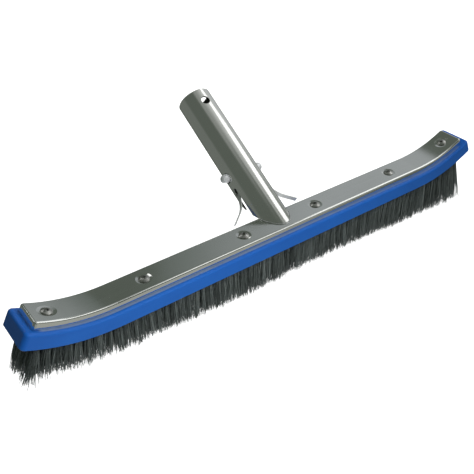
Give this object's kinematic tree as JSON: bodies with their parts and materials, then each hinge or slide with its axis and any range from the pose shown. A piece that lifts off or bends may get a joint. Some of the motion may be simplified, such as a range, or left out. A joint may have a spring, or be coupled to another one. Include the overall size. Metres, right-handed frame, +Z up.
{
  "type": "pool wall brush",
  "caption": "Pool wall brush: a long moulded head with upswept ends, rows of stiff grey tufts, a screwed-on metal back and a leaning pole tube with a squeeze clip.",
  "frame": {"origin": "middle of the plane of the bristle tips, which the brush rests on, under the middle of the head", "axes": "+X along the head, +Y to the back, where the pole tube leans, +Z up out of the head's metal back"},
  "size_m": [0.4774, 0.154, 0.1277],
  "materials": {
    "body_blue": "moulded, semi-gloss",
    "channel_metal": "polished along its length",
    "tube_metal": "polished along its length",
    "weld_metal": "as welded",
    "screw_steel": "satin",
    "clip_steel": "satin",
    "button_metal": "satin",
    "bristle_grey": "dull, ragged tips",
    "anchor_wire": "plain wire"
  },
  "bodies": {
    "root": {"brush_body": "body_blue", "back_channel": "channel_metal", "channel_screws": "screw_steel", "handle_tube": "tube_metal", "foot_weld": "weld_metal", "clip_bend": "clip_steel", "bristle_row_front": "bristle_grey", "bristle_row_front_mid": "bristle_grey", "bristle_row_centre": "bristle_grey", "bristle_row_rear_mid": "bristle_grey", "bristle_row_rear": "bristle_grey", "tuft_anchors_front": "anchor_wire", "tuft_anchors_front_mid": "anchor_wire", "tuft_anchors_centre": "anchor_wire", "tuft_anchors_rear_mid": "anchor_wire", "tuft_anchors_rear": "anchor_wire"},
    "left_arm": {"clip_arm_left": "clip_steel", "lock_button_left": "button_metal"},
    "right_arm": {"clip_arm_right": "clip_steel", "lock_button_right": "button_metal"}
  },
  "joints": [
    {"name": "left_squeeze", "type": "hinge", "parent": "root", "child": "left_arm", "pos_m": [-0.004, 0.10545, 0.10022], "axis": [0, -0.5075, 0.8616], "range_deg": [0, 6.2], "stiffness_Nm_per_rad": 2, "springref_deg": -2.86},
    {"name": "right_squeeze", "type": "hinge", "parent": "root", "child": "right_arm", "pos_m": [0.004, 0.10545, 0.10022], "axis": [0, 0.5075, -0.8616], "range_deg": [0, 6.2], "stiffness_Nm_per_rad": 2, "springref_deg": -2.86}
  ]
}
